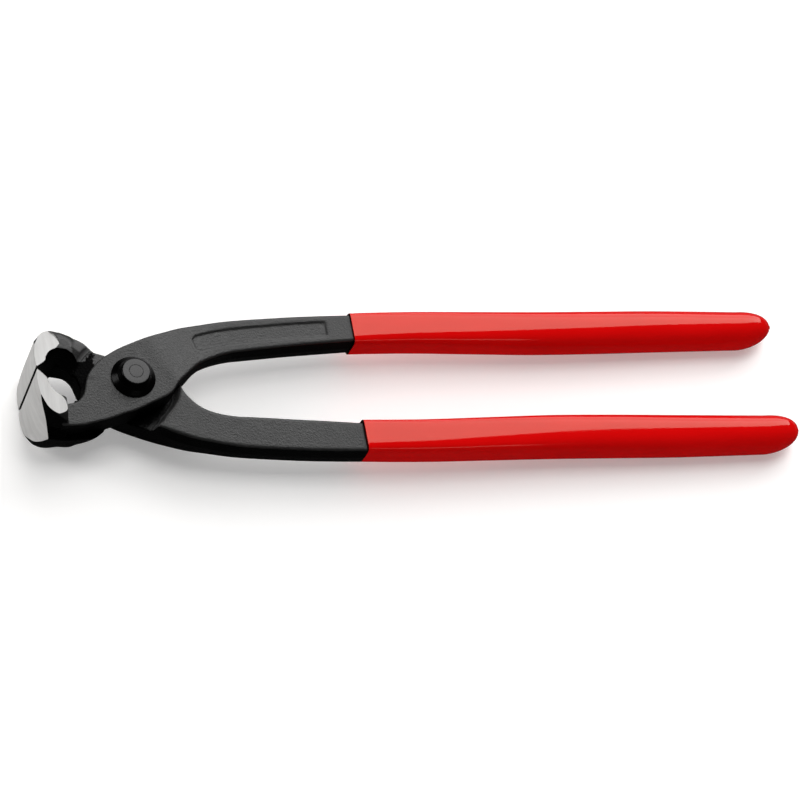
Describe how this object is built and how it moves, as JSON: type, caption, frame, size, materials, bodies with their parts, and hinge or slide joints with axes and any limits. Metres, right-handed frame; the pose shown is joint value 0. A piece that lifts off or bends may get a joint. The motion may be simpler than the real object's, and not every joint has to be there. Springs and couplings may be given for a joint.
{
  "type": "rebar tying pliers",
  "caption": "End-cutting tying pliers: two crossed forged levers on a rivet, wide ground jaws that close edge to edge, and long straight handles in dipped plastic coats.",
  "frame": {"origin": "middle of the closed tool's length and width, level with the underside of the head as the tool lies flat", "axes": "+X from the jaws to the handle ends, +Y to the front lever's handle, +Z along the rivet towards its raised head"},
  "size_m": [0.25, 0.0506, 0.0276],
  "materials": {
    "black_steel": "satin black forged tool steel with ground jaws",
    "black_rivet": "satin black pressed steel",
    "red_dip": "glossy dipped soft vinyl"
  },
  "bodies": {
    "front": {"front_lever": "black_steel", "pivot_rivet": "black_rivet", "front_grip": "red_dip"},
    "back": {"back_lever": "black_steel", "back_grip": "red_dip"}
  },
  "joints": [
    {"name": "pivot", "type": "hinge", "parent": "front", "child": "back", "pos_m": [-0.09515, 0, 0.0138], "axis": [0, 0, -1], "range_deg": [0, 40]}
  ]
}
